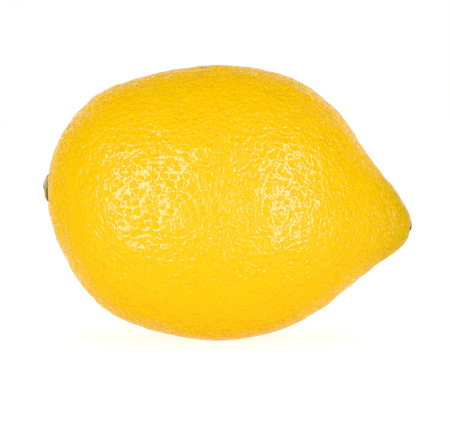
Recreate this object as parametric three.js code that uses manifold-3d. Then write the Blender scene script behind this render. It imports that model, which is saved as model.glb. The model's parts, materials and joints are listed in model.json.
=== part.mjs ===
// A lemon as picked, lying on its side on the small flat spot under it. Millimetres, +Z up.
// X runs from the stem end (-X) to the nipple (+X), and Y across the fruit. The origin is on the
// surface that the lemon lies on, under the middle of its length and width.
//
// It has three pieces: the fruit, the green calyx that sits in the dish at the stem end, and the stub
// of the stem that stands in the calyx.

import * as THREE from "three";
import { mergeVertices } from "three/addons/utils/BufferGeometryUtils.js";
import Module from "manifold-3d";

const wasm = await Module();
wasm.setup();

// ---- The fruit --------------------------------------------------------------------------------

// The fruit's side view as [x, z], from the middle of the stem end over the top to the tip of the
// nipple, and from there back underneath. The lowest points lie under the surface, where the flat
// spot is cut.
const OVER_THE_TOP = [
  [-39.3, 32.9],
  [-38.5, 38.0],
  [-36.4, 44.1],
  [-32.4, 49.7],
  [-26.3, 54.6],
  [-18.4, 57.3],
  [-9.2, 59.2],
  [-1.2, 60.0],
  [6.6, 59.2],
  [14.3, 57.0],
  [20.3, 53.3],
  [25.1, 48.9],
  [29.0, 43.2],
  [33.0, 37.5],
  [37.5, 31.8],
  [39.7, 28.3],
];
const NIPPLE_TIP = [40.5, 25.0];
const BACK_UNDERNEATH = [
  [39.8, 22.4],
  [38.1, 20.1],
  [34.2, 17.2],
  [29.6, 13.9],
  [25.2, 10.0],
  [19.7, 5.9],
  [13.2, 2.7],
  [6.6, 0.6],
  [-1.4, -0.4],
  [-9.4, 0.3],
  [-18.4, 2.6],
  [-26.3, 6.3],
  [-31.4, 11.2],
  [-35.2, 17.9],
  [-37.9, 24.0],
  [-39.0, 28.6],
];
const WIDTH_TO_HEIGHT = 1.03; // it lies on its flatter side, so it is a little wider than it is high
const SWAY = 0.9; // how far the middle stands to one side of the line between the two ends
const LOBES = [
  { count: 3, height: 0.006, turn: 0.8 },
  { count: 5, height: 0.004, turn: 2.1 },
]; // soft ridges along the fruit, as shares of its radius
const DISH_DEPTH = 0.9; // the dish at the stem end that the calyx sits in
const DISH_RADIUS = 3.5; // where the dish has risen to a third of its depth

const RINGS = 44; // facets from end to end
const AROUND = 72; // facets round the fruit
const CROWDING = 0.5; // 0 spaces the rings evenly, and towards 1 they crowd at the two ends
const SPLINE_STEPS = 160;

// ---- The calyx and the stem -------------------------------------------------------------------
// Heights here are measured outwards from the fruit's stem end, where the skin would be without the
// dish, and "up" is across the stem end, towards the top of the fruit.

const SEPALS = 5;
const SEPAL_REACH = 0.06; // how far the sepals stand past the notches between them, as a share
const CALYX_BASE = -0.3; // its underside, 0.3 or more off the dish
const CALYX_RADIUS = 3.05;
const RIM_THICKNESS = 0.6; // of the sepals at their tips
const COLLAR_WALL = 0.3; // the collar that rises from the sepals round the stem
const COLLAR_THICKNESS = 1.6; // from the calyx's underside to the top of the collar
const CALYX_AROUND = 60;

const STEM_RADIUS = 1.2;
const STEM_GAP = 0.3; // between the stem and the collar
const STEM_FOOT = -0.3;
const STEM_UP = 1.1; // how far above the middle of the stem end it stands
const STEM_LEAN = 0.8; // how far it leans up for each millimetre outwards
const STEM_AROUND = 32;

const CUT_HEIGHT = 1.23; // where the slanting cut crosses the middle of the stem end
const CUT_SLANT = THREE.MathUtils.degToRad(23); // the cut face looks outwards and upwards

// ---- Colours ----------------------------------------------------------------------------------

const rindFinish = new THREE.MeshStandardMaterial({ color: 0xfecb05, roughness: 0.35, metalness: 0 });
const calyxFinish = new THREE.MeshStandardMaterial({ color: 0x9da338, roughness: 0.6, metalness: 0 });
const stemFinish = new THREE.MeshStandardMaterial({ color: 0xc3b78c, roughness: 0.8, metalness: 0 });

// ---- Solids -----------------------------------------------------------------------------------

// A closed geometry as a solid that can be cut.
function solidOf(geometry) {
  const bare = geometry.clone();
  bare.deleteAttribute("normal");
  bare.deleteAttribute("uv");
  const merged = mergeVertices(bare, 1e-4);
  return new wasm.Manifold(
    new wasm.Mesh({
      numProp: 3,
      vertProperties: new Float32Array(merged.attributes.position.array),
      triVerts: new Uint32Array(merged.index.array),
    }),
  );
}

function geometryOf(solid) {
  const mesh = solid.getMesh();
  const geometry = new THREE.BufferGeometry();
  geometry.setAttribute("position", new THREE.BufferAttribute(mesh.vertProperties, 3));
  geometry.setIndex(new THREE.BufferAttribute(mesh.triVerts, 1));
  geometry.computeVertexNormals();
  return geometry;
}

// Moves each point of a geometry to where place(point) puts it.
function reshape(geometry, place) {
  const points = geometry.attributes.position;
  const point = new THREE.Vector3();
  for (let i = 0; i < points.count; i++) {
    point.fromBufferAttribute(points, i);
    place(point);
    points.setXYZ(i, point.x, point.y, point.z);
  }
  return geometry;
}

// ---- The fruit's shape ------------------------------------------------------------------------

// The whole side view is one closed curve, so that it runs squarely across the axis at both ends.
const outlinePoints = [...OVER_THE_TOP, NIPPLE_TIP, ...BACK_UNDERNEATH];
const outline = new THREE.CatmullRomCurve3(
  outlinePoints.map(([x, z]) => new THREE.Vector3(x, 0, z)),
  true,
  "centripetal",
);
const tipAlong = OVER_THE_TOP.length / outlinePoints.length;

// One side of the outline, from the stem end to the tip, to be read by its share of that length.
function sideOfOutline(from, to) {
  const steps = Array.from({ length: SPLINE_STEPS + 1 }, (_, i) =>
    outline.getPoint(THREE.MathUtils.lerp(from, to, i / SPLINE_STEPS)),
  );
  return new THREE.CatmullRomCurve3(steps);
}
const upperSide = sideOfOutline(0, tipAlong);
const lowerSide = sideOfOutline(1, tipAlong);
const stemEnd = outline.getPoint(0);

// A share of the way from the stem end to the tip, with the rings crowded towards both ends.
function crowded(share) {
  return share - (CROWDING * Math.sin(2 * Math.PI * share)) / (2 * Math.PI);
}

function ridge(angle, share) {
  return LOBES.reduce(
    (sum, { count, height, turn }) =>
      sum + height * Math.cos(count * angle + turn) * Math.sin(Math.PI * share),
    1,
  );
}

// A unit sphere whose poles are the two ends, wrapped ring by ring onto the side view: each ring
// stands on the line between the upper and the lower side, and is an oval across it.
function fruitGeometry() {
  const sphere = new THREE.SphereGeometry(1, AROUND, RINGS);
  return reshape(sphere, (point) => {
    const share = crowded(Math.acos(THREE.MathUtils.clamp(point.y, -1, 1)) / Math.PI);
    const angle = Math.atan2(point.z, point.x);
    const top = upperSide.getPointAt(share);
    const bottom = lowerSide.getPointAt(share);
    const middle = top.clone().add(bottom).multiplyScalar(0.5);
    const up = top.clone().sub(bottom).multiplyScalar(0.5);
    const bulge = ridge(angle, share);
    const across = WIDTH_TO_HEIGHT * up.length() * Math.cos(angle) * bulge;

    point.copy(middle).addScaledVector(up, Math.sin(angle) * bulge);
    point.y = across + SWAY * Math.sin(Math.PI * share);

    const fromStem = Math.hypot(point.y, point.z - stemEnd.z);
    if (share < 0.5) point.x += DISH_DEPTH * Math.exp(-((fromStem / DISH_RADIUS) ** 2));
  });
}

function makeFruit() {
  const ground = new THREE.BoxGeometry(200, 200, 20).translate(0, 0, -10);
  const shape = solidOf(fruitGeometry()).subtract(solidOf(ground));
  const fruit = new THREE.Mesh(geometryOf(shape), rindFinish);
  fruit.name = "fruit";
  return fruit;
}

// ---- The stem end's pieces --------------------------------------------------------------------
// Both are made standing on their own +Z, which points outwards from the fruit, with +Y up.

// How far up the middle of the leaning stem is at a height.
const stemMiddle = (height) => STEM_UP + STEM_LEAN * height;

// The round of the leaning stem, from one height to another.
function stemRound(radius, from, to) {
  const round = new THREE.CylinderGeometry(radius, radius, to - from, STEM_AROUND)
    .rotateX(Math.PI / 2)
    .translate(0, 0, (from + to) / 2);
  return reshape(round, (point) => {
    point.y += stemMiddle(point.z);
  });
}

// What one slanting snip of the secateurs took off, calyx and stem together.
function snippedOff() {
  return new THREE.BoxGeometry(20, 20, 10)
    .translate(0, 0, 5)
    .rotateX(-CUT_SLANT)
    .translate(0, 0, CUT_HEIGHT);
}

// The calyx before it is pierced and cut: sepals in a ring, rising to a collar that leans with the
// stem.
function sepalCone() {
  const rim = CALYX_RADIUS;
  const collar = STEM_RADIUS + STEM_GAP + COLLAR_WALL;
  const profile = new THREE.Path();
  profile.moveTo(0, 0);
  profile.lineTo(rim * 0.93, 0);
  profile.quadraticCurveTo(rim, 0.05, rim, RIM_THICKNESS * 0.5);
  profile.quadraticCurveTo(rim, RIM_THICKNESS * 0.9, rim * 0.9, RIM_THICKNESS);
  profile.quadraticCurveTo(collar + 0.1, RIM_THICKNESS + 0.1, collar, COLLAR_THICKNESS);
  profile.lineTo(0, COLLAR_THICKNESS);
  const cone = new THREE.LatheGeometry(profile.getPoints(4), CALYX_AROUND).rotateX(Math.PI / 2);
  return reshape(cone, (point) => {
    const radius = Math.hypot(point.x, point.y);
    const lobe = (radius / rim) ** 4 * Math.cos(SEPALS * Math.atan2(point.y, point.x));
    const withStem = THREE.MathUtils.clamp((rim - radius) / (rim - collar), 0, 1);
    point.x *= 1 + SEPAL_REACH * lobe;
    point.y *= 1 + SEPAL_REACH * lobe;
    point.z += CALYX_BASE;
    point.y += withStem * stemMiddle(point.z);
  });
}

function makeCalyx() {
  const hole = stemRound(STEM_RADIUS + STEM_GAP, CALYX_BASE - 1, CALYX_BASE + 4);
  const shape = solidOf(sepalCone()).subtract(solidOf(hole)).subtract(solidOf(snippedOff()));
  const calyx = new THREE.Mesh(geometryOf(shape), calyxFinish);
  calyx.name = "calyx";
  return calyx;
}

function makeStem() {
  const round = solidOf(stemRound(STEM_RADIUS, STEM_FOOT, STEM_FOOT + 4));
  const stem = new THREE.Mesh(geometryOf(round.subtract(solidOf(snippedOff()))), stemFinish);
  stem.name = "stem";
  return stem;
}

// Turns the stem end's own +Z to look along -X, and its +Y to look up.
function makeStemEnd() {
  const group = new THREE.Group();
  group.add(makeCalyx(), makeStem());
  const outwards = new THREE.Vector3(-1, 0, 0);
  const up = new THREE.Vector3(0, 0, 1);
  const basis = new THREE.Matrix4().makeBasis(up.clone().cross(outwards), up, outwards);
  group.setRotationFromMatrix(basis);
  group.position.copy(stemEnd);
  return group;
}

const lemon = new THREE.Group();
lemon.add(makeFruit(), makeStemEnd());
const middle = new THREE.Box3().setFromObject(lemon, true).getCenter(new THREE.Vector3());
lemon.position.set(-middle.x, -middle.y, 0);

export default lemon;
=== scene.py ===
# %% [markdown]
# # A lemon, as picked
#
# This lesson finishes one lemon in Blender around a fixed model of its shape. The fixed model, the
# frame, has three nodes: the fruit, the green calyx in the dish at the stem end, and the snipped stub
# of the stem. Each of them is replaced here by a finer piece of the same size in the same place.
#
# Almost everything that makes a lemon look like a lemon is in its skin: thousands of oil glands that
# dimple it, slow swells under them, and a coat of wax that mirrors the lights between the dimples.
# So most of the lesson is about the skin.

# %% Open the frame
import json
import math

import bmesh
import bpy
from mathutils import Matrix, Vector

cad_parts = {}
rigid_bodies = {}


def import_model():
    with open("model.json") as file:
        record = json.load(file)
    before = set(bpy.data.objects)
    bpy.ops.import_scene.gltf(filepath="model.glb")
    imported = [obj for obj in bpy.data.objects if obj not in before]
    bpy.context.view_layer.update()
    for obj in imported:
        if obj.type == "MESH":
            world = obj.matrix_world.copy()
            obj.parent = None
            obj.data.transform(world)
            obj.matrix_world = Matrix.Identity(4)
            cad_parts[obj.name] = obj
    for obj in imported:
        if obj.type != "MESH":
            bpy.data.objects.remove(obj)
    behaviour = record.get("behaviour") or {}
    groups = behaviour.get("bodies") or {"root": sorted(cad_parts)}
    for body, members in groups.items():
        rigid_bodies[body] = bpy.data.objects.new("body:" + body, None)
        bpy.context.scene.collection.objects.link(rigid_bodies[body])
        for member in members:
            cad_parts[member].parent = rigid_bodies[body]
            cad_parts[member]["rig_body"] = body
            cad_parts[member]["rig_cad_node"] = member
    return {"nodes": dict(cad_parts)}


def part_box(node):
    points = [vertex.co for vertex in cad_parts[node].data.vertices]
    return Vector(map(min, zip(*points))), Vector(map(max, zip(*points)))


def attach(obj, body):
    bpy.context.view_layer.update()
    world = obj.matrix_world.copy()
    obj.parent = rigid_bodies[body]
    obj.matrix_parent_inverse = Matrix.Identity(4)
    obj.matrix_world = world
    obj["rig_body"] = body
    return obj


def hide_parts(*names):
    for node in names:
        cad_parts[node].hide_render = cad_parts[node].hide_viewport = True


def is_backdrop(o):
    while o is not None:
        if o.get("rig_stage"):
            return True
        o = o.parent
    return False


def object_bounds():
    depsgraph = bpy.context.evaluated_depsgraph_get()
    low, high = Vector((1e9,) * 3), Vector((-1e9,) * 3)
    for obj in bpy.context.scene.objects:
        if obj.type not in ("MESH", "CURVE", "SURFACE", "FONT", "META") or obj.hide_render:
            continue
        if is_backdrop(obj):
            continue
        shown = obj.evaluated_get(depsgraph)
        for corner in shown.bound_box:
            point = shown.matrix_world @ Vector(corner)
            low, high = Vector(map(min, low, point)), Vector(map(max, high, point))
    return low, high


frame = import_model()
cad_low, cad_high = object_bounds()

MM = 0.001  # the frame is in metres, and a lemon is easier to think of in millimetres


def in_mm(place):
    return tuple(round(value / MM, 1) for value in place)


print("The frame's nodes:", sorted(frame["nodes"]))
print("Its box in mm:", in_mm(cad_low), "to", in_mm(cad_high))

# %% [markdown]
# ## Landmarks
#
# A lemon is described from its two ends. The stem end is where it hung, and the nipple is where the
# flower's style once stood. Both are read off the frame instead of being typed in, so that the detail
# stays on the fruit if its shape ever changes. The stem was taken off by one slanting snip, and the
# snip's plane is found from the stem's own cut face.

# %% Find the stem end, the tip of the nipple and the snip
fruit_low, fruit_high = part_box("fruit")
stem_low, stem_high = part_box("stem")
calyx_low, calyx_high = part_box("calyx")

SNIP_SLANT = math.radians(23)  # the cut looks outwards and upwards
SNIP_ASIDE = math.radians(18.5)  # and a little to the front, as a hand's cut does

stem_end = Vector((calyx_high.x, (stem_low.y + stem_high.y) / 2, (calyx_low.z + calyx_high.z) / 2))
tip = max((v.co for v in frame["nodes"]["fruit"].data.vertices), key=lambda place: place.x).copy()
snip_way = Vector((-math.cos(SNIP_SLANT), 0, math.sin(SNIP_SLANT)))
stem_places = [v.co for v in frame["nodes"]["stem"].data.vertices]
snip_reach = max(place.dot(snip_way) for place in stem_places)
cut_places = [place for place in stem_places if place.dot(snip_way) > snip_reach - 0.01 * MM]
snip_middle = sum(cut_places, Vector()) / len(cut_places)
cut_way = snip_way * math.cos(SNIP_ASIDE) + Vector((0, -math.sin(SNIP_ASIDE), 0))

print("Stem end:", in_mm(stem_end), " tip:", in_mm(tip), " middle of the snip:", in_mm(snip_middle))

# %% [markdown]
# ## Node trees as sums
#
# The skin's relief is a formula of the place on the fruit, and it is needed twice: geometry nodes sink
# the mesh by it, and the material shades by it what lies between the mesh's points. Both kinds of tree
# know the same Math, Noise and Voronoi nodes, so one formula written in Python can build either.
#
# `Wire` wraps the output of a node. An operator on wires adds the Math node that works it out, and
# Vector Math where a wire is a vector. `Net` adds any other node from its type, its settings and what
# goes into its sockets.

# %% A node tree that is written as Python expressions
def socket_of(sockets, key):
    """The socket at an index, or with an identifier or a name."""
    if isinstance(key, int):
        return sockets[key]
    named = [s for s in sockets if s.identifier == key] or [s for s in sockets if s.name == key]
    return named[0]


class Net:
    """A node tree, to which nodes are added by type, settings and inputs."""

    def __init__(self, tree):
        self.tree = tree

    def node(self, kind, settings=None, inputs=None):
        node = self.tree.nodes.new(kind)
        for name, value in (settings or {}).items():
            setattr(node, name, value)
        for key, value in (inputs or {}).items():
            socket = socket_of(node.inputs, key)
            if isinstance(value, Wire):
                self.tree.links.new(value.socket, socket)
            else:
                socket.default_value = value
        return node

    def wire(self, kind, settings=None, inputs=None, out=0):
        return Wire(self, socket_of(self.node(kind, settings, inputs).outputs, out))

    def math(self, operation, *values):
        settings = {"operation": operation}
        if any(isinstance(v, Wire) and v.socket.type in ("VECTOR", "RGBA") for v in values):
            triples = [(v, v, v) if isinstance(v, (int, float)) else v for v in values]
            return self.wire("ShaderNodeVectorMath", settings, dict(enumerate(triples)))
        return self.wire("ShaderNodeMath", settings, dict(enumerate(values)))


class Wire:
    """The output of a node, which Python's operators carry on from."""

    def __init__(self, net, socket):
        self.net = net
        self.socket = socket

    def __add__(self, other):
        return self.net.math("ADD", self, other)

    def __sub__(self, other):
        return self.net.math("SUBTRACT", self, other)

    def __rsub__(self, other):
        return self.net.math("SUBTRACT", other, self)

    def __mul__(self, other):
        return self.net.math("MULTIPLY", self, other)

    __radd__ = __add__


def at_most(one, other):
    return one.net.math("MINIMUM", one, other)


def at_least(one, other):
    return one.net.math("MAXIMUM", one, other)


def ramp(value, start, end):
    """0 where the value is at start, 1 where it is at end, and an S-curve between them."""
    settings = {"interpolation_type": "SMOOTHSTEP"}
    inputs = {"Value": value, "From Min": start, "From Max": end}
    return value.net.wire("ShaderNodeMapRange", settings, inputs, "Result")


def far_from(place, point):
    """How far the place is from a point."""
    settings = {"operation": "DISTANCE"}
    return place.net.wire("ShaderNodeVectorMath", settings, {0: place, 1: tuple(point)}, "Value")


def noise(place, size, detail=1.0):
    """Slow random swells of about a size, mostly from -0.5 to 0.5."""
    inputs = {"Vector": place, "Scale": 1 / size, "Detail": detail}
    return place.net.wire("ShaderNodeTexNoise", None, inputs, "Fac") - 0.5


def seeds(place, size, feature="F1"):
    """How far the place is from the nearest of the seeds strewn through space, or from the middle
    between two of them, as a share of size, which is how far apart they are."""
    inputs = {"Vector": place, "Scale": 1 / size, "Randomness": 0.9}
    return place.net.wire("ShaderNodeTexVoronoi", {"feature": feature}, inputs, "Distance")


def noise_vector(place, size):
    """Three swells at once, to push a place about."""
    inputs = {"Vector": place, "Scale": 1 / size, "Detail": 0.0}
    return place.net.wire("ShaderNodeTexNoise", None, inputs, "Color") - (0.5, 0.5, 0.5)


def part_of(place, letter):
    """The X, Y or Z of a place."""
    return place.net.wire("ShaderNodeSeparateXYZ", None, {0: place}, letter)


def round_axis(place, end):
    """The angle of a place round the fruit's long axis, seen from one end."""
    up = part_of(place, "Z") - end.z / MM
    aside = part_of(place, "Y") - end.y / MM
    return place.net.math("ARCTAN2", aside, up)


def colour_mix(share, colour, other):
    """One colour where the share is 0, the other where it is 1."""
    inputs = {"Factor_Float": share, "A_Color": colour, "B_Color": other}
    return share.net.wire("ShaderNodeMix", {"data_type": "RGBA"}, inputs, "Result_Color")


# %% [markdown]
# ## The relief of the skin
#
# From the largest to the smallest, a lemon's skin has:
#
# - swells a finger's width across, which break up the reflection of a light into patches;
# - oil glands, each one a round dimple. Between them is a network of narrow, level ridges. The large
#   ones are up to 1.7 mm wide, and small ones fill the places between;
# - a wrinkled tip, with the round brown scar of the style, and furrows that run out from the stem.
#
# The glands are the surface's cuts through balls that are strewn through space, which a Voronoi
# texture gives. A ball that is cut off its middle makes a small dimple, so both sizes and all between
# them come by themselves. Everything here is in millimetres.

# %% Write the glands as a formula
# What is apart and deep is in mm, and the rest is in shares of how far apart they are.
LARGE_GLANDS = {"apart": 1.5, "radius": 0.58, "wall": 0.05, "bowl": 0.26, "deep": 0.15}
SMALL_GLANDS = {"apart": 0.8, "radius": 0.55, "wall": 0.05, "bowl": 0.22, "deep": 0.08}
WAX_EDGE = (0.10, 0.19)  # how far inside a rim the wax starts to thin, and where it has gone
BENT = {"across": 2.6, "far": 0.35}  # bends the place, in mm, so that no gland is quite round


def glands(place):
    """The depth of the oil glands, in mm, and 1 inside a gland's rim, where the wax is thin."""
    bent = place + noise_vector(place, BENT["across"]) * BENT["far"]
    depths = []
    insides = []
    for kind in (LARGE_GLANDS, SMALL_GLANDS):
        from_rim = at_most(
            kind["radius"] - seeds(bent, kind["apart"]),
            seeds(bent, kind["apart"], "DISTANCE_TO_EDGE") - kind["wall"],
        )
        depths.append(ramp(from_rim, 0, kind["bowl"]) * kind["deep"])
        insides.append(ramp(from_rim, *WAX_EDGE))
    return at_least(*depths), at_least(*insides)


# %% Write the rest of the relief
# Sizes are in mm. A pair of places is where something starts to show and where it shows in full.
SWELLS = ((9.0, 0.34), (3.4, 0.24))  # how far across, and how high
SWELLS_FROM_TIP = (0.5, 6.0)
SWELLS_FROM_FLOOR = (0.2, 3.0)
CALM_ROUND_TIP = (7.0, 2.0)  # where the glands get shallower
CALM_ROUND_STEM = (5.5, 2.5)
SCAR_RADIUS = 1.15
SCAR_EDGE = 1.3  # where its ragged edge ends, as a share of its radius
SCAR_HIGH = 0.04
NOTCH = {"away": 1.6, "wide": 0.75, "deep": 0.65}  # the groove round the scar
FURROWS = 9
FURROW_DEEP = 0.16
FURROWS_INNER = (2.0, 4.0)  # from the stem end
FURROWS_OUTER = (11.0, 5.0)
WRINKLES = 7
WRINKLE_DEEP = 0.09
WRINKLES_INNER = (1.2, 2.5)  # from the tip
WRINKLES_OUTER = (9.0, 4.0)
WAVER = {"across": 5.0, "far": 6}  # how the furrows and the wrinkles wander
GLANDS_IN_MESH = 0.75  # the share of the glands' depth that the mesh has

scar_middle = tip + Vector((0, 0, -0.4 * MM))


def swells(place):
    """The height of the slow swells, in mm."""
    return sum(noise(place, size) * height * 2 for size, height in SWELLS)


def creases(place, end, count):
    """Creases that run out from one end of the fruit, wavering: 1 in a crease and 0 between them."""
    turn = round_axis(place, end) * count + noise(place, WAVER["across"]) * WAVER["far"]
    return ramp(turn.net.math("COSINE", turn), 0.2, 1.0)


def flower_scar(place):
    """1 in the style's scar on the tip, and 0 off it."""
    wobbled = far_from(place, scar_middle / MM) + noise(place, 0.7) * 0.5
    return ramp(wobbled, SCAR_RADIUS * SCAR_EDGE, SCAR_RADIUS)


def notch(place):
    """1 along the groove round the scar, which is deepest underneath."""
    away = far_from(place, scar_middle / MM) + noise(place, 1.1) * 0.3 - NOTCH["away"]
    below = ramp(part_of(place, "Z"), scar_middle.z / MM + 0.6, scar_middle.z / MM - 0.9)
    return ramp(away.net.math("ABSOLUTE", away), NOTCH["wide"], 0) * (below * 0.8 + 0.2)


def relief(place):
    """The height of the skin above the fruit's smooth shape, in mm."""
    from_tip = far_from(place, tip / MM)
    from_stem = far_from(place, stem_end / MM)
    calm = (1 - ramp(from_tip, *CALM_ROUND_TIP) * 0.6) * (1 - ramp(from_stem, *CALM_ROUND_STEM) * 0.8)
    furrowed = ramp(from_stem, *FURROWS_INNER) * ramp(from_stem, *FURROWS_OUTER)
    wrinkled = ramp(from_tip, *WRINKLES_INNER) * ramp(from_tip, *WRINKLES_OUTER)
    free = ramp(from_tip, *SWELLS_FROM_TIP) * ramp(part_of(place, "Z"), *SWELLS_FROM_FLOOR)
    height = swells(place) * free - glands(place)[0] * calm * GLANDS_IN_MESH
    height = height - creases(place, stem_end, FURROWS) * furrowed * FURROW_DEEP
    height = height - creases(place, tip, WRINKLES) * wrinkled * WRINKLE_DEEP
    return height + flower_scar(place) * SCAR_HIGH - notch(place) * NOTCH["deep"]


# %% [markdown]
# ## The fruit
#
# The frame's fruit is made of flat triangles a few millimetres wide. Its copy is cleaned, turned back
# into four-sided faces and subdivided, and it becomes the smooth shape that the skin is wrapped on.
#
# The skin itself starts as an icosphere, because its triangles are nearly all one size: a UV sphere
# crowds its points at the poles, and a lemon needs the same small triangles all over for its glands.
# It is stretched to the fruit's box, and a Shrinkwrap modifier pulls it in onto the smooth shape.

# %% Wrap a sphere of even triangles on the fruit's smooth shape
def deselect_all():
    bpy.ops.object.select_all(action="DESELECT")


def choose(piece):
    """Selects a piece and nothing else."""
    deselect_all()
    piece.select_set(True)
    bpy.context.view_layer.objects.active = piece


def edit(piece):
    """Opens a piece in edit mode with all of it selected."""
    choose(piece)
    bpy.ops.object.mode_set(mode="EDIT")
    bpy.ops.mesh.select_all(action="SELECT")


def leave():
    bpy.ops.object.mode_set(mode="OBJECT")


def add_modifier(piece, kind, **settings):
    """Adds a modifier with its settings and applies it."""
    choose(piece)
    bpy.ops.object.modifier_add(type=kind)
    modifier = piece.modifiers[-1]
    for name, value in settings.items():
        setattr(modifier, name, value)
    bpy.ops.object.modifier_apply(modifier=modifier.name)


def settle(piece):
    """Moves a piece's place, turn and size into its mesh, so that its object sits at the origin."""
    choose(piece)
    bpy.ops.object.transform_apply(location=True, rotation=True, scale=True)


def smooth(piece):
    choose(piece)
    bpy.ops.object.shade_smooth()


def smooth_copy(node):
    """A subdivided copy of a node of the frame, without its facets."""
    copy = frame["nodes"][node].copy()
    copy.data = copy.data.copy()
    copy.parent = None
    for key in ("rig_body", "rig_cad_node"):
        del copy[key]
    bpy.context.scene.collection.objects.link(copy)
    edit(copy)
    bpy.ops.mesh.remove_doubles(threshold=0.01 * MM)
    bpy.ops.mesh.tris_convert_to_quads(face_threshold=math.radians(40), shape_threshold=math.radians(60))
    leave()
    add_modifier(copy, "SUBSURF", levels=2, render_levels=2)
    return copy


SKIN_START = 5  # the icosphere's own subdivisions
SKIN_CUTS = 5  # cuts across each of its edges after that
OVERSIZE = 1.02  # of the stretched sphere, before it is wrapped

shape = smooth_copy("fruit")
deselect_all()
bpy.ops.mesh.primitive_ico_sphere_add(
    subdivisions=SKIN_START, radius=1, location=(fruit_low + fruit_high) / 2
)
fruit = bpy.context.object
fruit.name = "lemon_fruit"
edit(fruit)
bpy.ops.mesh.subdivide(number_cuts=SKIN_CUTS)
bpy.ops.transform.tosphere(value=1)
leave()
fruit.scale = (fruit_high - fruit_low) / 2 * OVERSIZE
settle(fruit)
add_modifier(
    fruit,
    "SHRINKWRAP",
    target=shape,
    wrap_method="PROJECT",
    use_negative_direction=True,
    use_positive_direction=True,
)
add_modifier(fruit, "SMOOTH", factor=0.5, iterations=4)
bpy.data.objects.remove(shape)
print("Triangles in the skin:", len(fruit.data.polygons))

# %% [markdown]
# ## Sinking the glands
#
# A geometry-nodes modifier moves each point of the skin along its normal by the relief. Before that it
# writes down where the point was, in millimetres, as an attribute named `grown_at`. The material will
# read the same formula from the same place, so that its dimples lie on the mesh's own dimples.

# %% Raise and sink the skin with geometry nodes
def relief_tree(name, formula):
    """A geometry-nodes tree that moves each point along its normal by what a formula makes of its
    place, and writes the place down. Everything in the formula is in millimetres."""
    tree = bpy.data.node_groups.new(name, "GeometryNodeTree")
    tree.interface.new_socket("Geometry", in_out="INPUT", socket_type="NodeSocketGeometry")
    tree.interface.new_socket("Geometry", in_out="OUTPUT", socket_type="NodeSocketGeometry")
    tree.is_modifier = True
    net = Net(tree)
    place = net.wire("GeometryNodeInputPosition") * (1 / MM)
    noted = net.wire(
        "GeometryNodeStoreNamedAttribute",
        {"data_type": "FLOAT_VECTOR", "domain": "POINT"},
        {"Geometry": net.wire("NodeGroupInput"), "Name": "grown_at", "Value": place},
    )
    lift = net.wire(
        "ShaderNodeVectorMath",
        {"operation": "SCALE"},
        {0: net.wire("GeometryNodeInputNormal"), "Scale": formula(place) * MM},
    )
    moved = net.wire("GeometryNodeSetPosition", None, {"Geometry": noted, "Offset": lift})
    net.node("NodeGroupOutput", None, {0: moved})
    return tree


add_modifier(fruit, "NODES", node_group=relief_tree("skin relief", relief))
smooth(fruit)

# %% [markdown]
# ## The rind's finish
#
# Wax makes the level skin between the glands shine like lacquer, so that a lamp is mirrored there as a
# bright mesh of lines. Inside the glands the wax is broken and the skin is nearly matt, which is why
# they read as darker dots in the reflection.
#
# One Principled shader with a varying Roughness would still mirror a soft haze inside the glands. Two
# shaders are mixed instead, one waxed and one dull, by the same mask that the glands' formula gives.
# The bump adds what is finer than the mesh's triangles: the rest of the glands' depth, and a slight
# unevenness that scatters the reflection into sparkles.

# %% The rind's colours, where it is brown, and where shade is painted
RIND = (0.95, 0.552, 0.0006, 1)
GLAND_FLOOR = (0.93, 0.465, 0.0004, 1)
TIP_RIND = (0.73, 0.44, 0.0008, 1)  # duller and greener, because the nipple ripens last
# The next brown is corked skin, and also painted shade round the stem and under the nipple.
CORK_AND_SHADE = (0.24, 0.095, 0.012, 1)
SCUFF = Vector((-4.9, -7.0, 59.2))  # where a leaf has rubbed the top, in mm

# Each pair is where the corked brown and the painted shade start to show and where they are full, in mm.
CORK_AND_SHADE_ROUND_STEM = (2.9, 2.1)
CORK_ROUND_SCUFF = (0.9, 0.4)
SHADE_BELOW_NIPPLE = (23.6, 21.6)  # the specks are under the nipple, by their height
SHADE_TOWARDS_TIP = (36.6, 38.6)  # and by how near the tip they are, along X
SHADE_SPECK = (0.02, 0.16)  # and these are values of the noise


def cork_and_painted_shade(place):
    """1 where the skin is brown: corked on the scar and on a few rubbed spots, partly corked and partly
    painted shade in the dish round the calyx, and painted shade in specks under the nipple.
    """
    # The ring in the dish is partly corked skin and partly painted shade, for the dark gap under the
    # calyx.
    ring = ramp(far_from(place, stem_end / MM) + noise(place, 1.2) * 0.8, *CORK_AND_SHADE_ROUND_STEM)
    rubbed = ramp(far_from(place, SCUFF) + noise(place, 0.8) * 1.2, *CORK_ROUND_SCUFF) * 0.7
    # Painted shade: brown specks under the nipple darken it where its underside turns away from the lamps.
    shaded_under_tip = ramp(part_of(place, "Z"), *SHADE_BELOW_NIPPLE) * ramp(part_of(place, "X"), *SHADE_TOWARDS_TIP)
    shade_specks = ramp(noise(place, 0.75, 2), *SHADE_SPECK) * shaded_under_tip * 0.75
    return at_least(at_least(flower_scar(place), ring), at_least(rubbed, shade_specks))


# %% Helpers that start a material and give it to a piece
def new_material(name):
    """A material without nodes, and the net that will fill it."""
    material = bpy.data.materials.new(name)
    material.use_nodes = True
    material.node_tree.nodes.clear()
    return material, Net(material.node_tree)


def grown_place(net):
    """The place that the relief tree wrote down, in mm."""
    return net.wire("ShaderNodeAttribute", {"attribute_name": "grown_at"}, None, "Vector")


def bumped(height):
    """A normal that is tilted by a height in mm."""
    return height.net.wire("ShaderNodeBump", None, {"Height": height, "Strength": 1.0, "Distance": MM})


def finish_with(piece, material):
    piece.data.materials.clear()
    piece.data.materials.append(material)
    print("Finished", piece.name, "with", material.name)


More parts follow.
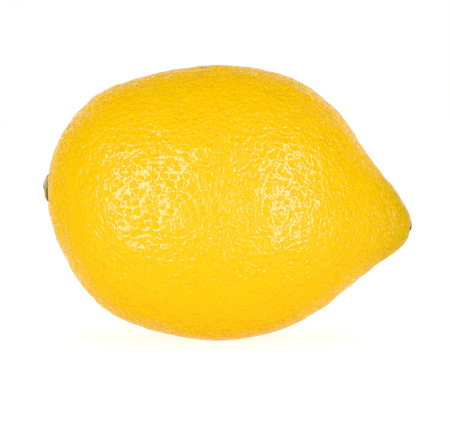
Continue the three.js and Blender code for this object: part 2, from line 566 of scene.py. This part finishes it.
# %% Mix the waxed and the dull rind
GLANDS_IN_SHADER = 0.7  # the share of the glands' depth that the bump adds
TIP_COLOUR = (21.0, 5.0)  # how far from the tip its colour starts, and where it is full, in mm
UNEVEN = {"across": 0.8, "high": 0.13}  # of the skin between the glands, in mm
WAXED = {"Roughness": 0.12, "IOR": 1.6}
DULL = {"Roughness": 0.6, "IOR": 1.6, "Specular IOR Level": 0.03}


def make_rind():
    material, net = new_material("waxy rind")
    place = grown_place(net)
    depth, inside = glands(place)
    cork_and_shade_mask = cork_and_painted_shade(place)
    near_tip = ramp(far_from(place, tip / MM), *TIP_COLOUR)
    skin = colour_mix(near_tip, RIND, TIP_RIND)
    skin = colour_mix(inside * (0.5 - near_tip * 0.4), skin, GLAND_FLOOR)
    height = depth * -GLANDS_IN_SHADER + noise(place, UNEVEN["across"]) * UNEVEN["high"]
    both = {"Base Color": colour_mix(cork_and_shade_mask, skin, CORK_AND_SHADE), "Normal": bumped(height)}
    waxed = net.wire("ShaderNodeBsdfPrincipled", None, both | WAXED)
    dull = net.wire("ShaderNodeBsdfPrincipled", None, both | DULL)
    mixed = net.wire("ShaderNodeMixShader", None, {0: at_least(inside, cork_and_shade_mask), 1: waxed, 2: dull})
    net.node("ShaderNodeOutputMaterial", None, {"Surface": mixed})
    return material


finish_with(fruit, make_rind())
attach(fruit, "root")
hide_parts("fruit")

# %% [markdown]
# ## The calyx
#
# The calyx is what is left of the flower's green cup: five short, leathery sepals that lie in the dish,
# and a collar between them that holds the stem. It is modelled as a person would by hand. A short
# cylinder lies in the dish, four of every six of its side faces are pulled out into a sepal, and its
# outer end is pulled out along the leaning stem. The snip comes next, and only after it is the whole
# subdivided, so that it looks grown.

# %% Helpers to pick, pull and tilt in edit mode
def pick(piece, wanted):
    """Selects the faces of the open piece that pass a test, and says where their middle is."""
    bpy.ops.mesh.select_mode(type="FACE")
    bpy.ops.mesh.select_all(action="DESELECT")
    mesh = bmesh.from_edit_mesh(piece.data)
    for face in mesh.faces:
        face.select_set(wanted(face))
    bmesh.update_edit_mesh(piece.data)
    return middle_of_selected(piece)


def middle_of_selected(piece):
    places = [vert.co.copy() for vert in bmesh.from_edit_mesh(piece.data).verts if vert.select]
    return sum(places, Vector()) / len(places)


def pull(piece, way, size=1.0):
    """Extrudes what is selected, and changes the size of the new end about its own middle."""
    bpy.ops.mesh.extrude_region_move(TRANSFORM_OT_translate={"value": way})
    bpy.ops.transform.resize(value=(size, size, size), center_override=middle_of_selected(piece))


def tilt(piece, angle):
    """Tilts what is selected about its own middle, so that its top end comes nearer the fruit."""
    bpy.ops.transform.rotate(value=-angle, orient_axis="Y", center_override=middle_of_selected(piece))


def ring(piece, size):
    """Puts a ring of new faces inside the selected face's edge. Unlike an inset it can't fold over
    itself where the edge has short stretches."""
    pull(piece, Vector(), size)


# %% Pull the sepals and the collar out of a short cylinder
SEPALS = 5
SIDES_PER_SEPAL = 6
SIDES_PULLED = 4
CALYX_RADIUS = 1.95 * MM  # without its sepals
CALYX_FOOT = 0.75 * MM  # how deep in the dish it starts
CALYX_FACE = 0.35 * MM  # how far out its face is, before it is tilted
CALYX_TILT = math.radians(12)
SEPAL_FOOT = 0.3 * MM
SEPAL_STEPS = ((0.62, 0.82, 0.14), (0.42, 0.60, 0.30), (0.24, 0.42, 0.36))  # out, size, bent back
SEPAL_BEND = (0.55, 0.45)  # how far all the sepals bend back, and how much more the lowest one does
COLLAR_UP = Vector((0, 0, 1.6)) * MM
COLLAR_FOOT = 0.94  # the collar's size at its foot, as a share of the calyx's face
COLLAR_TAPER = 0.93
COLLAR_TILT = math.radians(8)
COLLAR_OUT = 1.2 * MM
LEAN = Vector((-1, 0, 0.4))  # how the stem leans up as it goes outwards


def turn_of(face):
    """The angle of a face round the stem end, from straight down."""
    from_middle = face.calc_center_median() - stem_end
    return math.atan2(from_middle.y, -from_middle.z)


deselect_all()
bpy.ops.mesh.primitive_cylinder_add(
    vertices=SEPALS * SIDES_PER_SEPAL,
    radius=CALYX_RADIUS,
    depth=CALYX_FOOT + CALYX_FACE,
    location=stem_end + Vector(((CALYX_FOOT - CALYX_FACE) / 2, 0, 0)),
    rotation=(0, math.radians(-90), 0),
)
calyx = bpy.context.object
calyx.name = "lemon_calyx"
settle(calyx)
edit(calyx)
pick(calyx, lambda face: face.normal.x < -0.9)
tilt(calyx, CALYX_TILT)
bpy.ops.mesh.select_all(action="SELECT")
bpy.ops.mesh.bisect(plane_co=stem_end + Vector((SEPAL_FOOT, 0, 0)), plane_no=(1, 0, 0))
half_sepal = math.tau / (SEPALS * SIDES_PER_SEPAL) * SIDES_PULLED / 2
for number in range(SEPALS):
    sepal_turn = number * math.tau / SEPALS
    way = Vector((0, math.sin(sepal_turn), -math.cos(sepal_turn)))

    def in_sepal(face):
        away = (turn_of(face) - sepal_turn + math.pi) % math.tau - math.pi
        outer = face.calc_center_median().x < stem_end.x + SEPAL_FOOT
        return outer and abs(face.normal.x) < 0.5 and abs(away) < half_sepal

    pick(calyx, in_sepal)
    bend = SEPAL_BEND[0] + SEPAL_BEND[1] * math.cos(sepal_turn)
    for out, size, back in SEPAL_STEPS:
        pull(calyx, way * out * MM + Vector((back * bend * MM, 0, 0)), size)

pick(calyx, lambda face: face.normal.x < -0.9 and len(face.verts) > 10)
ring(calyx, COLLAR_FOOT)
pull(calyx, COLLAR_UP, COLLAR_TAPER)
tilt(calyx, COLLAR_TILT)
pull(calyx, LEAN * COLLAR_OUT)
leave()
print("Faces in the calyx before it is cut:", len(calyx.data.polygons))

# %% [markdown]
# ## The snip
#
# Secateurs took the fruit off with one slanting cut through the stem and the collar. The soft collar
# has shrunk a little since, so the wood stands proud of it.
#
# A bisect could make the cut and fill the hole it leaves. But this cut grazes the foot of two sepals,
# and there the fill leaves gaps. A Boolean modifier that takes a block away always leaves the piece
# closed, so it is used instead. It comes while the collar still has few faces, and a Subdivision
# Surface modifier rounds the whole calyx after it.

# %% Snip the calyx, and sink a socket in it
WOOD_SUNK = 0.25 * MM  # how far behind the middle of the frame's cut the tilted cut is
COLLAR_SHRINK = 0.06 * MM
COLLAR_LIP = 0.96  # the sizes of two rings in the cut, for a crisp edge and for the wall
COLLAR_WALL = 0.86
SOCKET_DEEP = 0.6 * MM
SOCKET_TAPER = 0.95
BLOCK = 10 * MM  # wide enough to take all that stands past the cut
CUT_AREA = 3 * MM * MM  # the cut face is the one face larger than this that looks the way of the cut


def snip(piece, through, way):
    """Takes off what stands past a plane with a block, opens the piece, picks the cut and says where
    its middle is."""
    deselect_all()
    bpy.ops.mesh.primitive_cube_add(
        size=BLOCK, location=through + way * BLOCK / 2, rotation=way.to_track_quat("Z", "Y").to_euler()
    )
    block = bpy.context.object
    add_modifier(piece, "BOOLEAN", object=block, operation="DIFFERENCE", solver="EXACT")
    bpy.data.objects.remove(block)
    edit(piece)
    return pick(piece, lambda face: face.normal.dot(way) > 0.99 and face.calc_area() > CUT_AREA)


cut_middle = snip(calyx, snip_middle - cut_way * (WOOD_SUNK + COLLAR_SHRINK), cut_way)
ring(calyx, COLLAR_LIP)
ring(calyx, COLLAR_WALL)
pull(calyx, -cut_way * SOCKET_DEEP, SOCKET_TAPER)
leave()
add_modifier(calyx, "SUBSURF", levels=2, render_levels=2)


def grown(place):
    """The unevenness of a leathery green piece, in mm."""
    return noise(place, 1.6) * 0.14 + noise(place, 0.6) * 0.05


add_modifier(calyx, "NODES", node_group=relief_tree("calyx relief", grown))
smooth(calyx)
print("Faces in the calyx:", len(calyx.data.polygons), " middle of its cut in mm:", in_mm(cut_middle))

# %% [markdown]
# ## The stub of the stem
#
# The stub is a leaning cylinder that fills the collar. Its cut face shows the wood: a ring of bark, pale
# wood with fibres, and a darker dot of pith in the middle.

# %% Cut the stub of the stem
STUB_RADIUS = 1.36 * MM
STUB_SIDES = 40
STUB_START = 0.3 * MM  # the height of the cylinder that it starts as
STUB_FOOT = 1.5 * MM  # how far behind the middle of the snip that cylinder is, along X
STUB_OUT = 2.4 * MM  # and how far out its end is pulled, along X
EDGE_RING = 0.97
BARK_RING = 0.9
WOOD_RING = 0.7
WOOD_PROUD = 0.04 * MM  # how far the wood stands out of its bark
SHARP = math.radians(40)

deselect_all()
bpy.ops.mesh.primitive_cylinder_add(
    vertices=STUB_SIDES,
    radius=STUB_RADIUS,
    depth=STUB_START,
    location=snip_middle - LEAN * STUB_FOOT,
    rotation=(0, math.radians(-90), 0),
)
stub = bpy.context.object
stub.name = "lemon_stem"
settle(stub)
edit(stub)
pick(stub, lambda face: face.normal.x < -0.9)
pull(stub, LEAN * STUB_OUT)
leave()
wood_middle = snip(stub, snip_middle - cut_way * WOOD_SUNK, cut_way)
ring(stub, EDGE_RING)
ring(stub, BARK_RING)
pull(stub, cut_way * WOOD_PROUD, EDGE_RING)
for _ in range(3):
    ring(stub, WOOD_RING)
leave()


def sawn(place):
    """The unevenness of cut wood and bark, in mm."""
    return noise(place, 0.5) * 0.05 + noise(place, 1.4) * 0.05


add_modifier(stub, "NODES", node_group=relief_tree("stub relief", sawn))
choose(stub)
bpy.ops.object.shade_smooth_by_angle(angle=SHARP)
print("Faces in the stub:", len(stub.data.polygons))

# %% [markdown]
# ## The green calyx and the cut wood
#
# The calyx is still alive when the fruit is picked: yellow-green in the middle, darker and browner
# towards the points of the sepals, where they begin to dry. The undersides of the lowest sepals are
# brown partly from dry tissue and partly as painted shade, for the dark gap between them and the fruit.
# The masks are ramps on the distance from the stem end, made ragged with noise, because a straight edge
# between two colours never grows.
#
# The wood is cut across. Its fibres show as fine flecks, so the place is stretched before it goes into
# the noise, and its bark and its pith are rings about the middle of the cut.

# %% The calyx's finish
LEAF = (0.46, 0.44, 0.028, 1)
LEAF_DARK = (0.13, 0.15, 0.018, 1)
# The next brown is partly dry tissue and partly painted shade under the lowest sepals.
LEAF_BROWN_AND_SHADE = (0.13, 0.055, 0.012, 1)

# Each pair is where a colour starts and where it is full, in mm.
POINTS = (2.6, 3.4)  # from the stem end
UNDERSIDE = (-0.35, -0.15)  # from the stem end, along X
LOWER = (0.5, 0)  # over the stem end
ABOVE_CUT = (0.4, 1.3)


def make_calyx_finish():
    material, net = new_material("green calyx")
    place = grown_place(net)
    up = part_of(place, "Z")
    mottle = noise(place, 0.9, 3)
    points = ramp(far_from(place, stem_end / MM) + mottle * 0.6, *POINTS)
    under = ramp(part_of(place, "X") + mottle * 0.3, *(stem_end.x / MM + off for off in UNDERSIDE))
    low = ramp(up, *(stem_end.z / MM + off for off in LOWER))
    high = ramp(up + mottle * 0.4, *(cut_middle.z / MM + off for off in ABOVE_CUT))
    colour = colour_mix(ramp(mottle, 0.0, 0.3) * 0.5, LEAF, LEAF_DARK)
    colour = colour_mix(at_least(points * 0.6, high * 0.8), colour, LEAF_DARK)
    # Painted shade, partly dry tissue: the lowest sepals' undersides are browned where the gap to the
    # fruit lies in shade.
    colour = colour_mix(under * low, colour, LEAF_BROWN_AND_SHADE)
    look = {"Base Color": colour, "Normal": bumped(noise(place, 0.3, 3) * 0.05)}
    leathery = {"Roughness": 0.6 + mottle * 0.3, "Specular IOR Level": 0.3}
    shader = net.wire("ShaderNodeBsdfPrincipled", None, look | leathery)
    net.node("ShaderNodeOutputMaterial", None, {"Surface": shader})
    return material


# %% The stub's finish
WOOD = (0.62, 0.52, 0.33, 1)
WOOD_DARK = (0.33, 0.24, 0.13, 1)
BARK_COLOUR = (0.085, 0.075, 0.022, 1)
FIBRES = (1.0, 3.0, 0.7)  # how much finer the flecks are along X, Y and Z
FLECK = (-0.1, 0.25)  # values of the noise, from pale wood to a dark fleck
PITH = (0.3, 0.1)  # from the middle of the cut, in mm
BARK = (1.3, 1.5)


def make_wood_finish():
    material, net = new_material("cut stem")
    place = grown_place(net)
    fibre = noise(place * FIBRES, 0.35, 3)
    from_middle = far_from(place, wood_middle / MM)
    colour = colour_mix(ramp(fibre, *FLECK), WOOD, WOOD_DARK)
    colour = colour_mix(ramp(from_middle, *PITH) * 0.6, colour, WOOD_DARK)
    colour = colour_mix(ramp(from_middle + fibre * 0.3, *BARK), colour, BARK_COLOUR)
    look = {"Base Color": colour, "Normal": bumped(fibre * 0.08)}
    dry = {"Roughness": 0.8 + fibre * 0.2, "Specular IOR Level": 0.3}
    shader = net.wire("ShaderNodeBsdfPrincipled", None, look | dry)
    net.node("ShaderNodeOutputMaterial", None, {"Surface": shader})
    return material


# %% Put both finishes on
for piece, node, slot, finish in (
    (calyx, "calyx", "calyx", make_calyx_finish()),
    (stub, "stem", "cut_stem", make_wood_finish()),
):
    finish_with(piece, finish)
    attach(piece, "root")
    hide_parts(node)

# %% [markdown]
# ## The white floor
#
# The lemon lies in a white sweep, where the floor can't be told from the backdrop. A floor that is only
# painted white would be as bright as the light on it and no brighter, and it would show every shadow.
# So this one is a middle grey that also glows: the glow brings it up to white, and what is left of
# the shadow under the fruit is faint.

# %% Lay the floor
FLOOR_SIZE = 20  # in metres, so that its edge is never seen
FLOOR_GREY = (0.3, 0.3, 0.3, 1)
FLOOR_GLOW = 0.8

deselect_all()
bpy.ops.mesh.primitive_plane_add(size=FLOOR_SIZE, location=(0, 0, 0))
floor = bpy.context.object
floor.name = "floor"
floor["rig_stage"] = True
floor.visible_glossy = False
floor.visible_shadow = False

white, net = new_material("white floor")
glowing = {"Emission Color": (1, 1, 1, 1), "Emission Strength": FLOOR_GLOW, "Specular IOR Level": 0.0}
paint = net.wire("ShaderNodeBsdfPrincipled", None, {"Base Color": FLOOR_GREY} | glowing)
net.node("ShaderNodeOutputMaterial", None, {"Surface": paint})
finish_with(floor, white)

# %% [markdown]
# ## The lights
#
# Two tall softboxes stand left and right of the camera, and each is mirrored in the wax as one patch of
# bright mesh. A soft light from all round fills the rest, so that the skin has hardly any shading.
#
# A lamp has two effects, its reflection and the light it sheds, and here they are set apart. Each
# softbox is a pair of area lights in one place: one is seen only in reflections, and the other only
# lights the skin. Without that, a lamp that is bright enough to be mirrored would bleach the skin,
# and the light from all round would be mirrored as a grey veil over the yellow.

# %% Place the softboxes
HEIGHT = math.radians(8)  # how high the softboxes stand, seen from the fruit
AWAY = 1.0  # in metres, as the sizes are
BACKDROP_AWAY = 1.2
MIRRORED = {"size": (0.50, 1.4), "radiance": 7.0, "colour": (1, 0.5, 0.9)}
SHED = {"size": (0.72, 1.5), "colour": (1, 1, 1)}
BACKDROP = {"size": (1.7, 1.4), "radiance": 0.85, "colour": (1, 1, 1)}
SOFTBOXES = (("left", -38, 0.82), ("right", 45, 0.72))  # degrees from the camera, and the light shed

middle = (cad_low + cad_high) / 2


def softbox(name, turn, height, away, size, radiance, colour):
    """An area light that shines at the fruit's middle and isn't itself seen."""
    way = Vector((math.sin(turn) * math.cos(height), -math.cos(turn) * math.cos(height), math.sin(height)))
    light = bpy.data.lights.new(name, "AREA")
    light.shape = "RECTANGLE"
    light.size, light.size_y = size
    light.energy = radiance * math.pi * light.size * light.size_y
    light.color = colour
    lamp = bpy.data.objects.new(name, light)
    bpy.context.scene.collection.objects.link(lamp)
    lamp.location = middle + way * away
    lamp.rotation_euler = way.to_track_quat("Z", "Y").to_euler()
    lamp.visible_camera = False
    return lamp


for side, degrees, shed in SOFTBOXES:
    turn = math.radians(degrees)
    mirrored = softbox(f"{side}_softbox", turn, HEIGHT, AWAY, **MIRRORED)
    mirrored.visible_diffuse = False
    lit = softbox(f"{side}_fill", turn, HEIGHT, AWAY, radiance=shed, **SHED)
    lit.visible_glossy = False
    lit.data.cycles.use_multiple_importance_sampling = False
backdrop = softbox("backdrop", math.pi, 0, BACKDROP_AWAY, **BACKDROP)
backdrop.visible_diffuse = False

# %% Light it from all round
SKY = 0.88

light = bpy.data.lights.new("sky", "SUN")
light.angle = math.pi
light.energy = SKY * math.pi
light.cycles.use_multiple_importance_sampling = False
sky = bpy.data.objects.new("sky", light)
bpy.context.scene.collection.objects.link(sky)
sky.visible_glossy = False

world = bpy.data.worlds.new("studio")
bpy.context.scene.world = world
world.use_nodes = True
world.node_tree.nodes["Background"].inputs["Color"].default_value = (1, 1, 1, 1)
world.cycles_visibility.diffuse = False
world.cycles_visibility.glossy = False
bpy.context.scene.view_settings.view_transform = "Standard"

# %% [markdown]
# ## The camera
#
# The lemon is seen square from its side with a long lens, from just above the height of its middle. A
# long lens from farther away keeps both ends of the fruit nearly in profile.

# %% Aim the camera
FRAME_WIDTH = 98.7 * MM  # what the view takes in at the fruit's middle
LENS = 150
SENSOR = 36
RISE = math.radians(3)
AIM = Vector((-0.4 * MM, middle.y, 27.75 * MM))

camera = bpy.data.objects.new("camera", bpy.data.cameras.new("camera"))
bpy.context.scene.collection.objects.link(camera)
camera.data.lens = LENS
camera.data.sensor_width = SENSOR
camera.data.clip_start = 0.01
back = Vector((0, -math.cos(RISE), math.sin(RISE)))
camera.location = AIM + back * (FRAME_WIDTH * LENS / SENSOR)
camera.rotation_euler = back.to_track_quat("Z", "Y").to_euler()
bpy.context.scene.camera = camera
print("Camera at", in_mm(camera.location), "mm")

# %% [markdown]
# ## The sizes
#
# The skin was raised and sunk, so its box is measured again beside the frame's. The two should differ by
# a fraction of a millimetre, and the finished lemon should stay inside the frame's box.

# %% Note the sizes and finish
shown_low, shown_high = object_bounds()
print("Shown box in mm:", in_mm(shown_low), "to", in_mm(shown_high))
